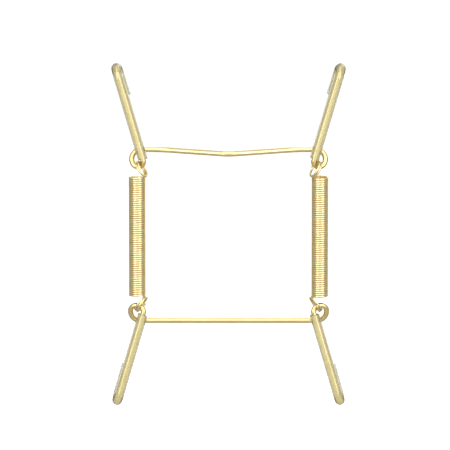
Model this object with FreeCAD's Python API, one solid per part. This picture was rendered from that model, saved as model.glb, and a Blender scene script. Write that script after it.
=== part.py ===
import FreeCAD, Part
import math
import os

from FreeCAD import Vector

# Wire plate hanger: an upper and a lower bent wire frame, drawn together by two extension springs.
# Each frame is one wire: hook, arm, eye, crossbar, eye, arm, hook. A clear tube covers each arm and hook.
# The hanger is upright, millimetres, +X to the right seen from the wall side.
# Hooks reach towards +Y, where the plate is. The V of the upper crossbar points to -Y, the wall.
# The origin is the nail seat: the underside of the wire at the point of the V.

# Frame wire
wire_d = 1.6
eye_hole_height = 3.4           # clear height of an eye, crossbar to spring-side bend
eye_shoulder = 2.9              # centreline radius of the bend from the crossbar into an eye
upper_eye_slant = 25.0          # degrees, the outer strand of an upper eye slants in towards the spring
lower_eye_slant = 0.0
upper_eye_bend = 1.65           # centreline radius of an eye's two spring-side bends
lower_eye_bend = 1.9
eye_flat = 0.1                  # straight left between the two spring-side bends

# Arms and hooks
arm_cross_x = 26.8              # where an arm passes over its crossbar, from the centre line
arm_lean = 16.3                 # degrees, outwards from upright
arm_reach = 25.6                # crossbar to the root of the hook, measured upright
hook_depth = 10.0               # axis of the arm to axis of the tip, the room for the plate's rim
hook_bend = 3.0                 # centreline radius of both bends of a hook
hook_close = 12.0               # degrees, the hook closes in towards the middle of the hanger
hook_tip = 7.5                  # length of the turned-back tip, from the hook's corner
hook_splay = 10.0               # degrees, the tip opens outwards to take the rim

# V of the upper crossbar
v_share = 0.765                 # half the width of the V, as a share of arm_cross_x
v_slope = 23.0                  # degrees, each leg away from the straight bar
v_point_bend = 5.0              # centreline radius at the point
v_root_bend = 15.0              # centreline radius where a leg meets the straight end

# Clear tubes
sleeve_d = 3.0
sleeve_fit = 0.05               # radial room between tube and wire
sleeve_setback = 0.55           # from the eye's last bend to the square end of the tube
sleeve_tail = 1.0               # tube left standing past the cut end of the wire
sleeve_clearance = 0.1          # between the tube and the crossbar that it passes

# Extension springs
spring_wire_d = 0.65
spring_d = 5.2                  # outside diameter of the coils
spring_turns = 55
coil_gap = 0.02                 # between neighbouring coils at rest
spring_offset = 1.0             # axis of a spring, outwards from where the arm passes the crossbar
loop_radius = 2.5               # centreline radius of an end loop
loop_turn = 18.0                # degrees, how far the root of a loop is turned to the wall side
loop_quarters = 7               # quarter turns of wire in a loop, so that two strands hang in the eye
loop_clearance = 0.38           # between the strands of a loop and the bottom of the eye that they hang in

# Sizes that follow from those above
eye_height = eye_hole_height + wire_d
arm_offset = wire_d / 2 + sleeve_d / 2 + sleeve_clearance
lean = math.radians(arm_lean)
slope = math.radians(v_slope)
close = math.radians(hook_close)
v_half_run = v_share * arm_cross_x
bar_y = v_half_run * math.tan(slope) - v_point_bend * (1 / math.cos(slope) - 1)
v_corner_y = bar_y - v_half_run * math.tan(slope)
eye_corner_x = arm_cross_x - eye_height * math.tan(lean)

spring_x = arm_cross_x + spring_offset
coil_radius = (spring_d - spring_wire_d) / 2
coil_pitch = spring_wire_d + coil_gap
coil_length = spring_turns * coil_pitch
quarter_rise = coil_pitch / 4           # of a quarter turn
spring_y = bar_y - 0.75 * arm_offset    # level with the middle of an eye's spring-side bend
loop_seat = wire_d / 2 + spring_wire_d / 2 + loop_clearance

# Spring-side bend radius and slant of each frame's eyes
upper_eye = (upper_eye_bend, math.radians(upper_eye_slant))
lower_eye = (lower_eye_bend, math.radians(lower_eye_slant))
arm_share = math.tan(math.pi / 4 + lean / 2)    # tangent length of an eye's last bend, per radius

up = Vector(0, 0, 1)
to_plate = Vector(0, 1, 0)
same_place = 1e-6               # points nearer than this are one point


def eye_far_x(eye):
    bend, slant = eye
    return eye_corner_x + bend * (arm_share + math.tan(math.pi / 4 - slant / 2)) + eye_flat


def eye_middle_x(eye):
    return eye_corner_x + eye[0] * arm_share + eye_flat / 2


def loop_reach(side, end, eye):
    """Root direction, leaving tangent and reach direction of the loop at one end of a spring.

    side is +1 on the right spring, end is +1 at the top. The loop starts on the side of the coil
    that faces the middle of the hanger, and leans so that its two strands lie in the middle of the eye.
    """
    turn = math.radians(loop_turn)
    root = Vector(-side * math.cos(turn), -math.sin(turn), 0)
    climb = math.atan2(quarter_rise, 2 * coil_radius)
    tangent = (up.cross(root) * math.cos(climb) + up * math.sin(climb)) * end
    across = (eye_middle_x(eye) - spring_x) / math.cos(turn) + coil_radius
    loop_lean = math.asin(across / math.hypot(2 * loop_radius, coil_pitch)) + math.atan2(coil_pitch, 2 * loop_radius)
    reach = up * end * math.cos(loop_lean) - root * math.sin(loop_lean)
    reach = (reach - tangent * reach.dot(tangent)).normalize()
    return root, tangent, reach


def loop_height(end, eye):
    """Height of the two strands in an eye, from the coil's end."""
    root, tangent, reach = loop_reach(1, end, eye)
    return (reach * 2 * loop_radius + tangent.cross(reach) * coil_pitch).z


# Heights, from the nail seat down
upper_bar_z = wire_d / 2
upper_eye_z = upper_bar_z - eye_height
coil_top_z = upper_eye_z + loop_seat - loop_height(1, upper_eye)
coil_bottom_z = coil_top_z - coil_length
lower_eye_z = coil_bottom_z + loop_height(-1, lower_eye) + loop_seat
lower_bar_z = lower_eye_z - eye_height


def bent_path(points, radii):
    """Edges of a path of straight runs joined by tangent arcs, one radius for each inner point."""
    edges = []
    here = points[0]

    def run_to(stop):
        if (stop - here).Length > same_place:
            edges.append(Part.LineSegment(here, stop).toShape())

    for before, corner, after, radius in zip(points, points[1:], points[2:], radii):
        back = (before - corner).normalize()
        onward = (after - corner).normalize()
        half_turn = (math.pi - back.getAngle(onward)) / 2
        start = corner + back * radius * math.tan(half_turn)
        end = corner + onward * radius * math.tan(half_turn)
        inwards = (back + onward).normalize()
        middle = corner + inwards * radius * (1 / math.cos(half_turn) - 1)
        run_to(start)
        edges.append(Part.Arc(start, middle, end).toShape())
        here = end
    run_to(points[-1])
    return edges


def backwards(edges):
    """The same path of arcs from its other end."""
    turned = []
    for edge in reversed(edges):
        first, last = edge.FirstParameter, edge.LastParameter
        places = [edge.valueAt(share) for share in (last, (first + last) / 2, first)]
        turned.append(Part.Arc(*places).toShape())
    return turned


def carried_skin(edges, diameter):
    """Side faces of a round rod along a path, cylinders and tori, with its first and last rims."""
    start = edges[0].valueAt(edges[0].FirstParameter)
    heading = edges[0].tangentAt(edges[0].FirstParameter)
    first_rim = Part.Wire(Part.makeCircle(diameter / 2, start, heading))
    rim = first_rim
    faces = []
    for edge in edges:
        if isinstance(edge.Curve, Part.Circle):
            bend = edge.Curve
            swing = math.degrees(edge.LastParameter - edge.FirstParameter)
            faces += rim.revolve(bend.Center, bend.Axis, swing).Faces
            rim = rim.rotated(bend.Center, bend.Axis, swing)
        else:
            run = edge.valueAt(edge.LastParameter) - edge.valueAt(edge.FirstParameter)
            faces += rim.extrude(run).Faces
            rim = rim.translated(run)
    return faces, first_rim, rim


def bent_rod(edges, outer_d, bore_d=0.0):
    """A rod, or a tube if it has a bore, along a bent path, closed by a flat face at each end."""
    faces, first_rim, last_rim = carried_skin(edges, outer_d)
    first_cap = [first_rim]
    last_cap = [last_rim]
    if bore_d:
        bore_faces, first_bore, last_bore = carried_skin(edges, bore_d)
        faces += bore_faces
        first_cap.append(first_bore)
        last_cap.append(last_bore)
    faces += [Part.Face(rims, "Part::FaceMakerBullseye") for rims in (first_cap, last_cap)]
    skin = Part.makeCompound(faces)
    skin.sewShape()
    rod = Part.makeSolid(skin.Shells[0])
    if rod.Volume < 0:
        rod.reverse()
    return rod


def arm_and_hook(side, end, eye, bar_z):
    """Corners of one side of a frame, crossbar to hook tip, with a bend radius for each but the tip.

    side is +1 on the right, end is +1 on the upper frame. The wire climbs towards the wall by
    arm_offset on its way round the eye, so that the arm clears the crossbar that it passes.
    """
    bend, slant = eye
    far_x = eye_far_x(eye)
    eye_z = bar_z - end * eye_height
    along_arm = Vector(side * math.sin(lean), 0, end * math.cos(lean))
    splay = math.radians(hook_splay)
    along_base = to_plate * math.cos(close) - along_arm * math.sin(close)
    along_tip = to_plate * math.sin(splay) - along_arm * math.cos(splay)
    eye_start = Vector(side * (far_x + eye_height * math.tan(slant)), bar_y, bar_z)
    eye_far = Vector(side * far_x, bar_y - arm_offset / 2, eye_z)
    arm_start = Vector(side * eye_corner_x, bar_y - arm_offset, eye_z)
    hook_root = arm_start + along_arm * ((eye_height + arm_reach) / math.cos(lean))
    hook_corner = hook_root + along_base * hook_depth
    tip = hook_corner + along_tip * hook_tip
    points = [eye_start, eye_far, arm_start, hook_root, hook_corner, tip]
    radii = [eye_shoulder, bend, bend, hook_bend, hook_bend]
    return points, radii


def frame_wire(end, eye, bar_z, bar_points, bar_radii):
    """One bent wire, tip to tip: the left side backwards, the crossbar, then the right side."""
    left_points, left_radii = arm_and_hook(-1, end, eye, bar_z)
    right_points, right_radii = arm_and_hook(1, end, eye, bar_z)
    points = left_points[::-1] + bar_points + right_points
    radii = left_radii[::-1] + bar_radii + right_radii
    return bent_rod(bent_path(points, radii), wire_d)


def sleeve(side, end, eye, bar_z):
    """Clear tube over an arm and its hook, from near the eye's last bend to just past the wire's tip."""
    points, radii = arm_and_hook(side, end, eye, bar_z)
    arm_start, hook_root = points[2:4]
    along_arm = (hook_root - arm_start).normalize()
    eye_side = bent_path(points, radii[1:])[3]      # the eye's last bend, which ends where the arm is straight
    first = eye_side.valueAt(eye_side.LastParameter) + along_arm * sleeve_setback
    hook_corner, tip = points[4:6]
    last = tip + (tip - hook_corner).normalize() * sleeve_tail
    edges = bent_path([first, hook_root, hook_corner, last], radii[3:])
    return bent_rod(edges, sleeve_d, wire_d + 2 * sleeve_fit)


def coil_path(start, tangent, inwards, radius, quarters):
    """Arcs of close coils, each rounding one corner of a square spiral that the coil touches.

    The coil leaves start along tangent, curls towards inwards, and rises by a pitch each turn.
    """
    climb = math.atan2(quarter_rise, 2 * radius)
    sideways = tangent.cross(inwards)
    axis = sideways * math.cos(climb) + tangent * math.sin(climb)
    centre = start + inwards * radius
    half_side = math.hypot(radius, quarter_rise / 2)
    half_turn = math.acos(quarter_rise**2 / (2 * half_side) ** 2) / 2

    def place(turned, reach):
        around = FreeCAD.Rotation(axis, turned).multVec(inwards * -reach)
        return centre + around + axis * quarter_rise * turned / 90

    corners = [place(90 * quarter + 45, radius * math.sqrt(2)) for quarter in range(quarters)]
    points = [start] + corners + [place(90 * quarters, radius)]
    return bent_path(points, [half_side / math.tan(half_turn)] * quarters)


def spring(side):
    """Close-coiled extension spring: a coil of wire with a double loop turned up at each end."""
    root, top_tangent, top_way = loop_reach(side, 1, upper_eye)
    root, bottom_tangent, bottom_way = loop_reach(side, -1, lower_eye)
    bottom = Vector(side * spring_x, spring_y, coil_bottom_z) + root * coil_radius
    top = bottom + up * coil_length
    bottom_loop = coil_path(bottom, bottom_tangent, bottom_way, loop_radius, loop_quarters)
    coils = coil_path(bottom, top_tangent, -root, coil_radius, 4 * spring_turns)
    top_loop = coil_path(top, top_tangent, top_way, loop_radius, loop_quarters)
    return bent_rod(backwards(bottom_loop) + coils + top_loop, spring_wire_d)


# Upper crossbar, bent to a V, and straight lower crossbar
v_points = [
    Vector(-v_half_run, bar_y, upper_bar_z),
    Vector(0, v_corner_y, upper_bar_z),
    Vector(v_half_run, bar_y, upper_bar_z),
]
v_radii = [v_root_bend, v_point_bend, v_root_bend]

nodes = {
    "upper_frame_wire": frame_wire(1, upper_eye, upper_bar_z, v_points, v_radii),
    "lower_frame_wire": frame_wire(-1, lower_eye, lower_bar_z, [], []),
    "left_spring": spring(-1),
    "right_spring": spring(1),
}
for side, side_name in ((-1, "left"), (1, "right")):
    nodes["upper_" + side_name + "_sleeve"] = sleeve(side, 1, upper_eye, upper_bar_z)
    nodes["lower_" + side_name + "_sleeve"] = sleeve(side, -1, lower_eye, lower_bar_z)

os.makedirs("parts", exist_ok=True)
for name, shape in nodes.items():
    box = shape.BoundBox
    print(name, "valid" if shape.isValid() else "NOT VALID", round(shape.Volume, 3), "mm3", box)
    shape.exportStep("parts/" + name + ".step")
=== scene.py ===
import math

import bpy
import numpy as np
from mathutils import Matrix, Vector


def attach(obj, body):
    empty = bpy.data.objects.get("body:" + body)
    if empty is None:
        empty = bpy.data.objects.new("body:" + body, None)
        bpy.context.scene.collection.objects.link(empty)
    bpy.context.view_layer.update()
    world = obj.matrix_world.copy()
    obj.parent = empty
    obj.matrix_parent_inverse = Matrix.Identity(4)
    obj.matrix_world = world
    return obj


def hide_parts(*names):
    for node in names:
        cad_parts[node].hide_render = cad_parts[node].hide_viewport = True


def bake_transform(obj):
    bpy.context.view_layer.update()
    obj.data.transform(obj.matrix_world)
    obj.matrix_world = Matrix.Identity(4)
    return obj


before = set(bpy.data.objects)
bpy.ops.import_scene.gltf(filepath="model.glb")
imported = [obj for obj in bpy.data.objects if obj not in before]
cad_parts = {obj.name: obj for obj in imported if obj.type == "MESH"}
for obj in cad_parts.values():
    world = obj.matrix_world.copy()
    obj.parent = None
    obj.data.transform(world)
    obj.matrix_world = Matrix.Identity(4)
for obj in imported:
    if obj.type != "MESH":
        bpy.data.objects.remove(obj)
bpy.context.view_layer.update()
print("frame loaded:", sorted(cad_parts))

mm = 0.001
up = np.array((0.0, 0.0, 1.0))
toPlate = np.array((0.0, 1.0, 0.0))
offAxis = np.array((0.31, 0.87, 0.39))  # Lies along no run of a wire
fullTurn = 2 * math.pi


def unit(v):
    return v / np.linalg.norm(v, axis=-1, keepdims=True)


# Wires as paths

def movesBetween(corners, radii):
    # Runs and bends of a wire: at each corner the bend of radius r starts r*tan(half the turn) before it.
    # A move is a length and a turning vector, which points along the bend's axis and is 1/r long, or zero
    # on a run.
    legs = np.diff(np.array(corners, float), axis=0)
    ways = unit(legs)
    turns = np.arccos(np.clip((ways[:-1] * ways[1:]).sum(1), -1, 1))
    radii = np.array(radii, float)
    cuts = radii * np.tan(turns / 2)
    runs = np.linalg.norm(legs, axis=1)
    runs[:-1] -= cuts
    runs[1:] -= cuts
    axes = unit(np.cross(ways[:-1], ways[1:])) / radii[:, None]
    moves = [(runs[0], np.zeros(3))]
    for k in range(len(radii)):
        moves += [(radii[k] * turns[k], axes[k]), (runs[k + 1], np.zeros(3))]
    return ways[0], [m for m in moves if m[0] > 1e-6]  # Runs of no length drop out


def walk(start, heading, across, moves, spacing):
    # Follows the moves from start. On a bend with axis a and radius r, after a distance t, the heading and
    # the section's own direction are turned about a by t/r, so that the section never twists:
    # point = start + r*sin(t/r)*heading + r*(1 - cos(t/r))*(a x heading).
    points, headings, acrosses, bends, alongs = [], [], [], [], []
    travelled = 0.0
    for length, turning in moves:
        bend = np.linalg.norm(turning)
        count = max(2, int(math.ceil(length / spacing)) + 1)
        t = np.linspace(0, length, count)[:, None]
        if bend:
            axis = turning / bend
            c, s = np.cos(t * bend), np.sin(t * bend)
            inwards = np.cross(axis, heading)
            path = start + heading * s / bend + inwards * (1 - c) / bend
            way = heading * c + inwards * s
            side = across * c + np.cross(axis, across) * s + axis * (across @ axis) * (1 - c)
            inner = np.cross(axis, way) * bend
        else:
            path = start + heading * t
            way = np.repeat(heading[None], count, 0)
            side = np.repeat(across[None], count, 0)
            inner = np.zeros((count, 3))
        points.append(path[:-1])
        headings.append(way[:-1])
        acrosses.append(side[:-1])
        bends.append(inner[:-1])
        alongs.append(travelled + t[:-1, 0])
        travelled += length
        start, heading, across, last = path[-1], way[-1], side[-1], inner[-1]
    return {
        "point": np.vstack(points + [start]),
        "way": np.vstack(headings + [heading]),
        "across": np.vstack(acrosses + [across]),
        "inner": np.vstack(bends + [last]),
        "along": np.concatenate(alongs + [[travelled]]),
    }


def anyAcross(heading):
    return unit(np.cross(heading, offAxis))


def section(path, around):
    # Directions of the section's points at each place of the path: cos(a)*across + sin(a)*(way x across).
    angle = np.arange(around) * fullTurn / around
    first = path["across"][:, None]
    second = np.cross(path["way"], path["across"])[:, None]
    return angle, np.cos(angle)[None, :, None] * first + np.sin(angle)[None, :, None] * second


def softened(values, along, reach):
    # Running mean over a distance, so that a mark fades in and out along the wire.
    taps = 7
    even = np.arange(along[0], along[-1], reach / (taps - 1))
    padded = np.pad(np.interp(even, along, values), taps // 2, mode="edge")
    return np.interp(along, even, np.convolve(padded, np.full(taps, 1 / taps), "valid"))


# Meshes from grids of points

def pointAttribute(mesh, name, kind, field, values):
    data = mesh.attributes.new(name, kind, "POINT").data
    data.foreach_set(field, values.astype(np.float32).ravel())


def gridMesh(name, grid, straight, marks):
    # A grid of rings x points becomes quads, closed round each ring, with a flat face at each end.
    rings, around = grid.shape[:2]
    ids = np.arange(rings * around).reshape(rings, around)
    thisRow, nextRow = ids[:-1], ids[1:]
    quads = np.stack([thisRow, np.roll(thisRow, -1, 1), np.roll(nextRow, -1, 1), nextRow], -1)
    quads = quads.reshape(-1, 4)
    loops = np.concatenate([quads.ravel(), ids[0][::-1], ids[-1]])
    sizes = np.append(np.full(len(quads), 4), [around, around])
    mesh = bpy.data.meshes.new(name)
    mesh.vertices.add(rings * around)
    mesh.vertices.foreach_set("co", (grid * mm).astype(np.float32).ravel())
    mesh.loops.add(len(loops))
    mesh.loops.foreach_set("vertex_index", loops.astype(np.int32))
    mesh.polygons.add(len(sizes))
    starts = np.concatenate([[0], np.cumsum(sizes)[:-1]])
    mesh.polygons.foreach_set("loop_start", starts.astype(np.int32))
    mesh.polygons.foreach_set("use_smooth", sizes == 4)
    mesh.update(calc_edges=True)
    mesh.validate()
    # The place on the straightened wire, in mm, and how hard the wire is bent there, for the finishes.
    pointAttribute(mesh, "straightWire", "FLOAT_VECTOR", "vector", straight)
    pointAttribute(mesh, "bendMark", "FLOAT", "value", marks)
    piece = bpy.data.objects.new(name, mesh)
    bpy.context.scene.collection.objects.link(piece)
    return piece


def straightened(radius, angle, along):
    # The same points on a straight wire along Z: radius * (cos a, sin a), distance along the path.
    return np.stack(np.broadcast_arrays(radius * np.cos(angle), radius * np.sin(angle), along[:, None]), -1)


def wirePiece(name, path, diameter, made):
    # Round wire: point + radius * section direction. At both ends a few rings close in to the worn edge of
    # the cut.
    radius, along, cut = diameter / 2, path["along"], made["cut"]
    fromEnd = np.minimum(along, along[-1] - along)
    size = 1 - cut["round"] * np.clip(1 - fromEnd / cut["reach"], 0, 1) ** 2
    angle, ring = section(path, made["around"])
    grid = path["point"][:, None] + ring * (radius * size)[:, None, None]
    bend = softened(np.linalg.norm(path["inner"], axis=1) * radius, along, made["markReach"])
    marks = np.repeat(np.clip(bend * made["markGain"], 0, 1)[:, None], made["around"], 1)
    return gridMesh(name, grid, straightened(radius, angle, along), marks)


def denseEnds(moves, cut):
    # Splits the first and last run so that the cut ends get their own close rings.
    first, last = moves[0], moves[-1]
    reach, steps = cut["reach"], cut["steps"]
    fine = [(reach / steps, np.zeros(3))] * steps
    return fine + [(first[0] - reach, first[1])] + moves[1:-1] + [(last[0] - reach, last[1])] + fine


# Frame wires: hook, arm, eye, crossbar, eye, arm, hook

wire = {
    "diameter": 1.6, "eyeHoleHeight": 3.4, "eyeShoulder": 2.9, "eyeFlat": 0.1,
    "upperEye": {"bend": 1.65, "slant": 25.0}, "lowerEye": {"bend": 1.9, "slant": 0.0},
    "armCrossX": 26.8, "armLean": 16.3, "armReach": 25.6,
    "hookDepth": 10.0, "hookBend": 3.0, "hookClose": 12.0, "hookTip": 7.5, "hookSplay": 10.0,
    "vShare": 0.765, "vSlope": 23.0, "vPointBend": 5.0, "vRootBend": 15.0,
    "around": 28, "spacing": 0.22, "markReach": 2.4, "markGain": 2.2,
    "cut": {"round": 0.16, "reach": 0.35, "steps": 4},
}
tube = {
    "diameter": 3.0, "fit": 0.05, "setback": 0.55, "tail": 1.0, "clearance": 0.1,
    "around": 44, "spacing": 0.25, "lip": 0.16, "lipSteps": 9, "oblique": 0.16, "obliqueReach": 2.0,
    "ripple": 0.035, "ripplePitch": 0.95, "squeeze": 0.05, "bendReach": 1.2,
    "hiddenShare": 0.6, "hiddenDepth": 0.1,
}
coil = {
    "wire": 0.65, "diameter": 5.2, "turns": 55, "gap": 0.02, "offset": 1.0, "backShare": 0.75,
    "loopRadius": 2.5, "loopTurn": 18.0, "loopQuarters": 7, "loopClearance": 0.38,
    "around": 14, "perTurn": 48, "perQuarter": 20, "markReach": 1.2, "markGain": 2.2,
    "cut": {"round": 0.2, "reach": 0.12, "steps": 3},
}

lean = math.radians(wire["armLean"])
slope = math.radians(wire["vSlope"])
eyeHeight = wire["eyeHoleHeight"] + wire["diameter"]
armOffset = wire["diameter"] / 2 + tube["diameter"] / 2 + tube["clearance"]
close = math.radians(wire["hookClose"])
vHalfRun = wire["vShare"] * wire["armCrossX"]
barY = vHalfRun * math.tan(slope) - wire["vPointBend"] * (1 / math.cos(slope) - 1)
eyeCornerX = wire["armCrossX"] - eyeHeight * math.tan(lean)
armShare = math.tan(math.pi / 4 + lean / 2)
springX = wire["armCrossX"] + coil["offset"]
coilRadius = (coil["diameter"] - coil["wire"]) / 2
coilPitch = coil["wire"] + coil["gap"]
coilLength = coil["turns"] * coilPitch
coilRise = coilPitch / fullTurn
springY = barY - coil["backShare"] * armOffset
loopSeat = wire["diameter"] / 2 + coil["wire"] / 2 + coil["loopClearance"]


def eyeFarX(eye):
    # The eye's outer corner: each of its two bends takes up its radius * tan(half its turn).
    tilt = math.radians(eye["slant"])
    return eyeCornerX + eye["bend"] * (armShare + math.tan(math.pi / 4 - tilt / 2)) + wire["eyeFlat"]


def loopWays(side, end, eye):
    # Where a loop leaves the coil, its heading there, and the direction in which it reaches to the eye.
    turn = math.radians(coil["loopTurn"])
    root = np.array((-side * math.cos(turn), -math.sin(turn), 0.0))
    climb = math.atan2(coilPitch / 4, 2 * coilRadius)
    heading = (np.cross(up, root) * math.cos(climb) + up * math.sin(climb)) * end
    middle = eyeCornerX + eye["bend"] * armShare + wire["eyeFlat"] / 2
    across = (middle - springX) / math.cos(turn) + coilRadius
    loopWidth = 2 * coil["loopRadius"]
    loopLean = math.asin(across / math.hypot(loopWidth, coilPitch)) + math.atan2(coilPitch, loopWidth)
    reach = up * end * math.cos(loopLean) - root * math.sin(loopLean)
    return root, heading, unit(reach - heading * (reach @ heading))


def loopHeight(end, eye):
    # Height of a loop's two strands in the eye, from the coil's end.
    _, heading, reach = loopWays(1, end, eye)
    return (reach * 2 * coil["loopRadius"] + np.cross(heading, reach) * coilPitch)[2]


upperBarZ = wire["diameter"] / 2
upperEyeZ = upperBarZ - eyeHeight
coilTopZ = upperEyeZ + loopSeat - loopHeight(1, wire["upperEye"])
coilBottomZ = coilTopZ - coilLength
lowerEyeZ = coilBottomZ + loopHeight(-1, wire["lowerEye"]) + loopSeat
lowerBarZ = lowerEyeZ - eyeHeight


def armCorners(side, end, eye, barZ):
    # From the bar outwards: the eye's shoulder, outer and inner corner, then the hook's root, corner and tip.
    farX = eyeFarX(eye)
    startX = farX + eyeHeight * math.tan(math.radians(eye["slant"]))
    eyeZ = barZ - end * eyeHeight
    alongArm = np.array((side * math.sin(lean), 0.0, end * math.cos(lean)))
    splay = math.radians(wire["hookSplay"])
    alongTip = toPlate * math.sin(splay) - alongArm * math.cos(splay)
    armStart = np.array((side * eyeCornerX, barY - armOffset, eyeZ))
    hookRoot = armStart + alongArm * (eyeHeight + wire["armReach"]) / math.cos(lean)
    alongHook = toPlate * math.cos(close) - alongArm * math.sin(close)
    hookCorner = hookRoot + alongHook * wire["hookDepth"]
    corners = [
        np.array((side * startX, barY, barZ)), np.array((side * farX, barY - armOffset / 2, eyeZ)),
        armStart, hookRoot, hookCorner, hookCorner + alongTip * wire["hookTip"],
    ]
    return corners, [wire["eyeShoulder"], eye["bend"], eye["bend"], wire["hookBend"], wire["hookBend"]]


def frameWire(name, end, eye, barZ, barCorners, barRadii):
    # The left arm from its tip, the bar's own corners, and the right arm to its tip.
    leftCorners, leftRadii = armCorners(-1, end, eye, barZ)
    rightCorners, rightRadii = armCorners(1, end, eye, barZ)
    corners = leftCorners[::-1] + barCorners + rightCorners
    heading, moves = movesBetween(corners, leftRadii[::-1] + barRadii + rightRadii)
    moves = denseEnds(moves, wire["cut"])
    path = walk(corners[0], heading, anyAcross(heading), moves, wire["spacing"])
    return wirePiece(name, path, wire["diameter"], wire)


vDepth = vHalfRun * math.tan(slope)
vCorners = [
    np.array((-vHalfRun, barY, upperBarZ)),
    np.array((0.0, barY - vDepth, upperBarZ)),
    np.array((vHalfRun, barY, upperBarZ)),
]
vRadii = [wire["vRootBend"], wire["vPointBend"], wire["vRootBend"]]
upperWire = frameWire("upper_bent_wire", 1, wire["upperEye"], upperBarZ, vCorners, vRadii)
lowerWire = frameWire("lower_bent_wire", -1, wire["lowerEye"], lowerBarZ, [], [])
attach(upperWire, "upper_frame")
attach(lowerWire, "lower_frame")
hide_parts("upper_frame_wire")
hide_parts("lower_frame_wire")
print("frame wires bent:", len(upperWire.data.polygons), len(lowerWire.data.polygons), "faces")


# Clear tubes over the arms and hooks

def clearTube(name, side, end, eye, barZ):
    # Clear wall that grips the wire: rounded lip at the eye, outside to past the tip, rounded lip, open bore
    # back to the wire's cut end. Both ends close inside the wire.
    # Outside: point + section direction * (tube radius + ripples on the inner side of a bend - a slight
    # flattening on its outer side). The ends are cut a little askew.
    corners, radii = armCorners(side, end, eye, barZ)
    armStart, hookRoot, hookCorner, tip = corners[2:]
    alongArm = unit(hookRoot - armStart)
    eyeTurn = math.acos(unit(armStart - corners[1]) @ alongArm)
    first = armStart + alongArm * (eye["bend"] * math.tan(eyeTurn / 2) + tube["setback"])
    last = tip + unit(tip - hookCorner) * tube["tail"]
    heading, moves = movesBetween([first, hookRoot, hookCorner, last], radii[3:])
    path = walk(first, heading, anyAcross(heading), moves, tube["spacing"])
    angle, ring = section(path, tube["around"])
    outer, bore = tube["diameter"] / 2, wire["diameter"] / 2 + tube["fit"]
    hidden = wire["diameter"] / 2 * tube["hiddenShare"]
    along, whole = path["along"], path["along"][-1]
    sharp = np.linalg.norm(path["inner"], axis=1)
    bendShare = softened(np.minimum(sharp * wire["hookBend"], 1), along, tube["bendReach"])
    inwards = unit(path["inner"] + 1e-9)  # Runs have no inner side, and the share below leaves them out
    towards = (ring * inwards[:, None]).sum(-1) * bendShare[:, None]
    ripples = tube["ripple"] * np.sin(along * fullTurn / tube["ripplePitch"])[:, None]
    gathered = np.clip(towards, 0, 1) ** 2 * ripples
    outerR = outer + gathered - np.clip(-towards, 0, 1) * tube["squeeze"]
    slant = tube["oblique"] * np.cos(angle)[None]
    nearEnd = np.clip(1 - along / tube["obliqueReach"], 0, 1)[:, None] * slant
    farEnd = np.clip(1 - (whole - along) / tube["obliqueReach"], 0, 1)[:, None] * slant
    shift = (nearEnd - farEnd)[..., None] * path["way"][:, None]
    lips = np.linspace(0, math.pi, tube["lipSteps"])[1:-1]
    lipR = (outer + bore) / 2 + (outer - bore) / 2 * np.cos(lips)
    lipOut = tube["lip"] * np.sin(lips)
    # Rings of the lips and the bore: radius, and depth into the tube from its end.
    nearR = np.concatenate([[hidden], lipR[::-1]])
    nearDeep = np.concatenate([[0], -lipOut])
    farR = np.concatenate([lipR, [bore, bore, hidden]])
    farDeep = np.concatenate([-lipOut, [0, tube["tail"], tube["tail"] + tube["hiddenDepth"]]])
    axis = path["point"][:, None] + shift
    near = axis[0] + ring[0] * nearR[:, None, None] + path["way"][0] * nearDeep[:, None, None]
    far = axis[-1] + ring[-1] * farR[:, None, None] - path["way"][-1] * farDeep[:, None, None]
    grid = np.concatenate([near, axis + ring * outerR[..., None], far])
    wallR = np.concatenate([nearR, np.full(len(along), outer), farR])
    wallS = np.concatenate([nearDeep, along, whole - farDeep])
    straight = straightened(wallR[:, None], angle, wallS)
    wallBend = np.concatenate([np.zeros(len(nearR)), bendShare, np.zeros(len(farR))])
    marks = np.repeat(wallBend[:, None], tube["around"], 1)
    return gridMesh(name, grid, straight, marks)


hands = ((-1, "left"), (1, "right"))
levels = ((1, "upper", wire["upperEye"], upperBarZ), (-1, "lower", wire["lowerEye"], lowerBarZ))
tubes = []
for end, level, eye, barZ in levels:
    for side, hand in hands:
        piece = clearTube(level + "_" + hand + "_clear_tube", side, end, eye, barZ)
        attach(piece, level + "_frame")
        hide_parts(level + "_" + hand + "_sleeve")
        tubes.append(piece)
print("clear tubes drawn:", len(tubes))


# Extension springs

def endLoop(base, heading, across, reach):
    # Two strands side by side: base + R*(reach + outwards) + axis * pitch * t / full turn, outwards being
    # ahead * sin t - reach * cos t. The section keeps its angle to outwards all the way round.
    radius, rise, cut = coil["loopRadius"], coilRise, coil["cut"]
    reach = unit(reach - heading * (reach @ heading))
    sideways = np.cross(heading, reach)
    climb = math.atan2(rise, radius)
    ahead = heading * math.cos(climb) - sideways * math.sin(climb)
    axis = sideways * math.cos(climb) + heading * math.sin(climb)
    stride = math.hypot(radius, rise)
    whole, fine = math.pi / 2 * coil["loopQuarters"], cut["reach"] / stride
    even = np.linspace(0, whole - fine, coil["perQuarter"] * coil["loopQuarters"])
    cutRings = whole - fine * np.arange(cut["steps"])[::-1] / cut["steps"]
    t = np.append(even, cutRings)[:, None]
    outwards = ahead * np.sin(t) - reach * np.cos(t)
    way = unit((ahead * np.cos(t) + reach * np.sin(t)) * radius + axis * rise)
    beside = np.cross(way, outwards)
    return {
        "point": base + (reach + outwards) * radius + axis * rise * t,
        "way": way,
        "across": outwards * (across @ outwards[0]) + beside * (across @ beside[0]),
        "inner": -outwards / radius,
        "along": t[:, 0] * stride,
    }


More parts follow.
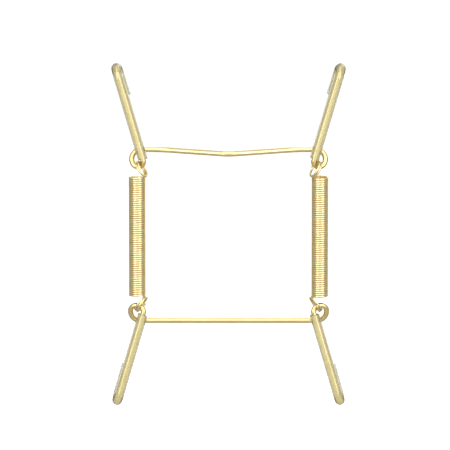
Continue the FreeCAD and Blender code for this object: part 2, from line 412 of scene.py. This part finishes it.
def springPiece(name, side):
    # Close coils: foot + R*(cos f * root + sin f * (up x root)) + up * pitch * f / full turn, with a loop at
    # each end.
    root, _, topReach = loopWays(side, 1, wire["upperEye"])
    _, _, lowReach = loopWays(side, -1, wire["lowerEye"])
    foot = np.array((side * springX, springY, coilBottomZ))
    turnAngle = np.linspace(0, fullTurn * coil["turns"], coil["turns"] * coil["perTurn"] + 1)[:, None]
    across = np.cos(turnAngle) * root + np.sin(turnAngle) * np.cross(up, root)
    ahead = -np.sin(turnAngle) * root + np.cos(turnAngle) * np.cross(up, root)
    point = foot + across * coilRadius + up * coilRise * turnAngle
    way = unit(ahead * coilRadius + up * coilRise)
    lowLoop = endLoop(point[0], -way[0], across[0], lowReach)
    topLoop = endLoop(point[-1], way[-1], across[-1], topReach)
    wound = turnAngle[:, 0] * math.hypot(coilRadius, coilRise)
    lowLength = lowLoop["along"][-1]
    along = np.concatenate([
        lowLength - lowLoop["along"][:0:-1],
        lowLength + wound,
        lowLength + wound[-1] + topLoop["along"][1:],
    ])
    path = {
        "point": np.vstack([lowLoop["point"][:0:-1], point, topLoop["point"][1:]]),
        "way": np.vstack([-lowLoop["way"][:0:-1], way, topLoop["way"][1:]]),
        "across": np.vstack([lowLoop["across"][:0:-1], across, topLoop["across"][1:]]),
        "inner": np.vstack([lowLoop["inner"][:0:-1], np.zeros_like(across), topLoop["inner"][1:]]),
        "along": along,
    }
    piece = wirePiece(name, path, coil["wire"], coil)
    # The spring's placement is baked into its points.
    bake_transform(piece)
    return piece


springs = []
for side, hand in hands:
    piece = springPiece(hand + "_coil_spring", side)
    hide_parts(hand + "_spring")
    springs.append(piece)
print("springs wound:", [len(p.data.polygons) for p in springs], "faces")


# Finishes

brassFinish = {
    "light": (0.92, 0.78, 0.42, 1), "deep": (0.86, 0.70, 0.33, 1), "tarnish": (0.52, 0.37, 0.14, 1),
    "edge": (0.86, 0.66, 0.30, 1), "linesAround": 7.0, "lineLength": 0.05, "dullness": 0.17, "bump": 0.05,
}
springFinish = {
    "light": (0.95, 0.85, 0.53, 1), "deep": (0.92, 0.78, 0.43, 1), "tarnish": (0.70, 0.54, 0.27, 1),
    "edge": (0.90, 0.72, 0.36, 1), "linesAround": 14.0, "lineLength": 0.08, "dullness": 0.22, "bump": 0.03,
}
# Noise scales are per mm of the straightened wire. A tint is the share of the darker tone that a mark takes.
wireMarks = {
    "lines": {"scale": 1.0, "detail": 3.0, "low": 0.32, "high": 0.68, "tint": 0.18, "dulls": 0.09},
    "drift": {"scale": 0.16, "detail": 2.0, "low": 0.35, "high": 0.65},
    "spots": {"scale": 1.9, "detail": 4.0, "low": 0.64, "high": 0.76, "tint": 0.55, "dulls": 0.22,
              "sinks": 0.4},
    "bends": {"tint": 0.35, "dulls": 0.05},
}
vinylFinish = {
    "clear": (0.70, 0.71, 0.61, 1), "cloudy": (0.63, 0.64, 0.53, 1),
    "dullness": 0.06, "grainDulls": 0.12, "bump": 0.04, "ior": 1.48, "transmission": 0.82,
    "cloud": {"scale": 0.35, "detail": 3.0},
    "grain": {"scale": 1.0, "detail": 2.0, "stretch": (2.2, 2.2, 0.12)},
}
bumpDepth = 0.0001  # Metres


def mathNode(tree, kind, a, b):
    node = tree.nodes.new("ShaderNodeMath")
    node.operation = kind
    for k, v in enumerate((a, b)):
        if isinstance(v, bpy.types.NodeSocket):
            tree.links.new(v, node.inputs[k])
        else:
            node.inputs[k].default_value = v
    return node.outputs[0]


def noiseNode(tree, vector, look):
    node = tree.nodes.new("ShaderNodeTexNoise")
    tree.links.new(vector, node.inputs["Vector"])
    node.inputs["Scale"].default_value = look["scale"]
    node.inputs["Detail"].default_value = look["detail"]
    return node.outputs["Fac"]


def markNode(tree, vector, look):
    # Noise stretched so that low becomes 0 and high becomes 1.
    node = tree.nodes.new("ShaderNodeMapRange")
    tree.links.new(noiseNode(tree, vector, look), node.inputs["Value"])
    node.inputs["From Min"].default_value = look["low"]
    node.inputs["From Max"].default_value = look["high"]
    return node.outputs["Result"]


def mixNode(tree, share, a, b):
    node = tree.nodes.new("ShaderNodeMix")
    node.data_type = "RGBA"
    for label, v in (("Factor", share), ("A", a), ("B", b)):
        if isinstance(v, bpy.types.NodeSocket):
            tree.links.new(v, node.inputs[label])
        else:
            node.inputs[label].default_value = v
    return node.outputs["Result"]


def attributeNode(tree, name):
    node = tree.nodes.new("ShaderNodeAttribute")
    node.attribute_name = name
    return node


def drawnWireGroup():
    # Shared finish of drawn and plated wire. Fine lines run along the straightened wire, the plating's tone
    # drifts slowly along it, small spots are tarnished, and bends are rubbed a little darker and duller.
    tree = bpy.data.node_groups.new("drawnWire", "ShaderNodeTree")
    for label, kind, preset in (
        ("Straight", "NodeSocketVector", (0, 0, 0)), ("Bend", "NodeSocketFloat", 0.0),
        ("Light Tone", "NodeSocketColor", (1, 1, 1, 1)), ("Deep Tone", "NodeSocketColor", (1, 1, 1, 1)),
        ("Tarnish Tone", "NodeSocketColor", (1, 1, 1, 1)), ("Lines Around", "NodeSocketFloat", 9.0),
        ("Line Length", "NodeSocketFloat", 0.06), ("Dullness", "NodeSocketFloat", 0.2),
    ):
        socket = tree.interface.new_socket(label, in_out="INPUT", socket_type=kind)
        socket.default_value = preset
    for label, kind in (
        ("Color", "NodeSocketColor"), ("Roughness", "NodeSocketFloat"), ("Height", "NodeSocketFloat"),
    ):
        tree.interface.new_socket(label, in_out="OUTPUT", socket_type=kind)
    given = tree.nodes.new("NodeGroupInput").outputs
    result = tree.nodes.new("NodeGroupOutput").inputs

    def scaled(value, share):
        return mathNode(tree, "MULTIPLY", value, share)

    stretch = tree.nodes.new("ShaderNodeCombineXYZ")
    for k, label in enumerate(("Lines Around", "Lines Around", "Line Length")):
        tree.links.new(given[label], stretch.inputs[k])
    drawn = tree.nodes.new("ShaderNodeVectorMath")
    drawn.operation = "MULTIPLY"
    tree.links.new(given["Straight"], drawn.inputs[0])
    tree.links.new(stretch.outputs[0], drawn.inputs[1])
    lineMarks, spotMarks, bendMarks = wireMarks["lines"], wireMarks["spots"], wireMarks["bends"]
    lines = markNode(tree, drawn.outputs[0], lineMarks)
    drift = markNode(tree, given["Straight"], wireMarks["drift"])
    spots = markNode(tree, given["Straight"], spotMarks)

    deep, tarnish = given["Deep Tone"], given["Tarnish Tone"]
    color = mixNode(tree, drift, given["Light Tone"], deep)
    color = mixNode(tree, scaled(given["Bend"], bendMarks["tint"]), color, deep)
    color = mixNode(tree, scaled(mathNode(tree, "SUBTRACT", 1.0, lines), lineMarks["tint"]), color, tarnish)
    color = mixNode(tree, scaled(spots, spotMarks["tint"]), color, tarnish)
    tree.links.new(color, result["Color"])

    rough = mathNode(tree, "ADD", given["Dullness"], scaled(lines, lineMarks["dulls"]))
    rough = mathNode(tree, "ADD", rough, scaled(spots, spotMarks["dulls"]))
    rough = mathNode(tree, "ADD", rough, scaled(given["Bend"], bendMarks["dulls"]))
    tree.links.new(rough, result["Roughness"])
    tree.links.new(mathNode(tree, "SUBTRACT", lines, scaled(spots, spotMarks["sinks"])), result["Height"])
    return tree


drawnWire = drawnWireGroup()


def newMaterial(name):
    material = bpy.data.materials.new(name)
    material.use_nodes = True
    return material, material.node_tree, material.node_tree.nodes["Principled BSDF"].inputs


def addBump(tree, surface, height, strength):
    bump = tree.nodes.new("ShaderNodeBump")
    bump.inputs["Strength"].default_value = strength
    bump.inputs["Distance"].default_value = bumpDepth
    tree.links.new(height, bump.inputs["Height"])
    tree.links.new(bump.outputs["Normal"], surface["Normal"])


def wireMaterial(name, finish):
    material, tree, surface = newMaterial(name)
    surface["Metallic"].default_value = 1.0
    surface["Specular Tint"].default_value = finish["edge"]
    group = tree.nodes.new("ShaderNodeGroup")
    group.node_tree = drawnWire
    tree.links.new(attributeNode(tree, "straightWire").outputs["Vector"], group.inputs["Straight"])
    tree.links.new(attributeNode(tree, "bendMark").outputs["Fac"], group.inputs["Bend"])
    for label, key in (
        ("Light Tone", "light"), ("Deep Tone", "deep"), ("Tarnish Tone", "tarnish"),
        ("Lines Around", "linesAround"), ("Line Length", "lineLength"), ("Dullness", "dullness"),
    ):
        group.inputs[label].default_value = finish[key]
    tree.links.new(group.outputs["Color"], surface["Base Color"])
    tree.links.new(group.outputs["Roughness"], surface["Roughness"])
    addBump(tree, surface, group.outputs["Height"], finish["bump"])
    return material


def vinylMaterial():
    # Clear soft tube: cloudy patches tint it, and a fine drawn grain along the tube softens the gloss.
    material, tree, surface = newMaterial("clearVinyl")
    surface["Transmission Weight"].default_value = vinylFinish["transmission"]
    surface["IOR"].default_value = vinylFinish["ior"]
    place = attributeNode(tree, "straightWire").outputs["Vector"]
    cloud = noiseNode(tree, place, vinylFinish["cloud"])
    tree.links.new(mixNode(tree, cloud, vinylFinish["clear"], vinylFinish["cloudy"]), surface["Base Color"])
    stretch = tree.nodes.new("ShaderNodeMapping")
    stretch.inputs["Scale"].default_value = vinylFinish["grain"]["stretch"]
    tree.links.new(place, stretch.inputs["Vector"])
    grain = noiseNode(tree, stretch.outputs[0], vinylFinish["grain"])
    rough = tree.nodes.new("ShaderNodeMapRange")
    rough.inputs["To Min"].default_value = vinylFinish["dullness"]
    rough.inputs["To Max"].default_value = vinylFinish["dullness"] + vinylFinish["grainDulls"]
    tree.links.new(grain, rough.inputs["Value"])
    tree.links.new(rough.outputs["Result"], surface["Roughness"])
    addBump(tree, surface, grain, vinylFinish["bump"])
    return material


brassWire = wireMaterial("brassWire", brassFinish)
springBrass = wireMaterial("springBrass", springFinish)
clearVinyl = vinylMaterial()
for piece in (upperWire, lowerWire):
    piece.data.materials.append(brassWire)
for piece in springs:
    piece.data.materials.append(springBrass)
for piece in tubes:
    piece.data.materials.append(clearVinyl)
print("finishes laid on:", len(springs) + len(tubes) + 2, "pieces")


# Camera, lamps, floor

view = {
    "aim": (-1.08, 6.98, -22.26), "elevation": 10.0, "distance": 2000.0, "width": 136.98,
    "sensor": 36.0, "clipEnd": 20.0,
}
elevation = math.radians(view["elevation"])
back = Vector((0, -math.cos(elevation), math.sin(elevation)))
camera = bpy.data.objects.new("camera", bpy.data.cameras.new("camera"))
camera.data.sensor_width = view["sensor"]
camera.data.lens = view["sensor"] * view["distance"] / view["width"]
camera.data.clip_end = view["clipEnd"]
camera.location = Vector(view["aim"]) * mm + back * view["distance"] * mm
camera.rotation_euler = (-back).to_track_quat("-Z", "Y").to_euler()
bpy.context.scene.collection.objects.link(camera)
bpy.context.scene.camera = camera

# A lamp stands at an azimuth and an elevation from the camera's side of the hanger, and faces its middle.
lamps = {
    "leftPanel": {"azimuth": -38, "elevation": 4, "away": 0.8, "size": (0.48, 2.6), "radiance": 2.15},
    "rightPanel": {"azimuth": 42, "elevation": 4, "away": 0.8, "size": (0.48, 2.6), "radiance": 2.15},
    "fillPanel": {"azimuth": 2, "elevation": 4, "away": 0.8, "size": (0.56, 2.6), "radiance": 0.8},
    "frontPanel": {"azimuth": 0, "elevation": 42, "away": 0.9, "size": (0.60, 0.34), "radiance": 1.0},
    "topPanel": {"azimuth": 0, "elevation": 95, "away": 0.8, "size": (0.50, 0.60), "radiance": 1.2},
    "backPanel": {"azimuth": 160, "elevation": 20, "away": 0.8, "size": (0.40, 0.60), "radiance": 1.2},
}
hangerMiddle = Vector((0, 6.5, -25)) * mm
for name, lamp in lamps.items():
    light = bpy.data.lights.new(name, "AREA")
    light.shape = "RECTANGLE"
    light.size, light.size_y = lamp["size"]
    light.energy = lamp["radiance"] * math.pi * lamp["size"][0] * lamp["size"][1]
    holder = bpy.data.objects.new(name, light)
    azimuth, height = math.radians(lamp["azimuth"]), math.radians(lamp["elevation"])
    flat = math.cos(height)
    out = Vector((math.sin(azimuth) * flat, -math.cos(azimuth) * flat, math.sin(height)))
    holder.location = hangerMiddle + out * lamp["away"]
    holder.rotation_euler = (-out).to_track_quat("-Z", "Y").to_euler()
    bpy.context.scene.collection.objects.link(holder)

# Glow and sky are strengths: 1 shows white to the camera, also through the clear tubes.
stage = {
    "floorSize": 6.0, "floorZ": -0.150, "floorTone": (0.72, 0.72, 0.72, 1), "floorRoughness": 0.8,
    "floorGloss": 0.2, "floorGlow": 0.95, "skyInMetal": 0.6, "skyElsewhere": 0.05, "white": (1, 1, 1, 1),
}


def seenRays(tree):
    rays = tree.nodes.new("ShaderNodeLightPath").outputs
    return rays, mathNode(tree, "MAXIMUM", rays["Is Camera Ray"], rays["Is Transmission Ray"])


floorCorners = [(x * stage["floorSize"], y * stage["floorSize"], stage["floorZ"])
                for x, y in ((-1, -1), (1, -1), (1, 1), (-1, 1))]
floorMesh = bpy.data.meshes.new("floor")
floorMesh.from_pydata(floorCorners, [], [(0, 1, 2, 3)])
floor = bpy.data.objects.new("floor", floorMesh)
bpy.context.scene.collection.objects.link(floor)
paleFloor, floorTree, floorSurface = newMaterial("paleFloor")
floorSurface["Base Color"].default_value = stage["floorTone"]
floorSurface["Roughness"].default_value = stage["floorRoughness"]
floorSurface["Specular IOR Level"].default_value = stage["floorGloss"]
floorSurface["Emission Color"].default_value = stage["white"]
_, floorSeen = seenRays(floorTree)
floorGlow = mathNode(floorTree, "MULTIPLY", floorSeen, stage["floorGlow"])
floorTree.links.new(floorGlow, floorSurface["Emission Strength"])
floorMesh.materials.append(paleFloor)

world = bpy.data.worlds.new("studio")
bpy.context.scene.world = world
world.use_nodes = True
sky = world.node_tree.nodes["Background"].inputs
sky["Color"].default_value = stage["white"]
skyRays, skySeen = seenRays(world.node_tree)
skyInMetal = mathNode(world.node_tree, "MULTIPLY", skyRays["Is Glossy Ray"], stage["skyInMetal"])
skyUnseen = mathNode(world.node_tree, "MAXIMUM", skyInMetal, stage["skyElsewhere"])
skyStrength = mathNode(world.node_tree, "MAXIMUM", skySeen, skyUnseen)
world.node_tree.links.new(skyStrength, sky["Strength"])

bpy.context.scene.view_settings.view_transform = "Standard"
print("stage lit")
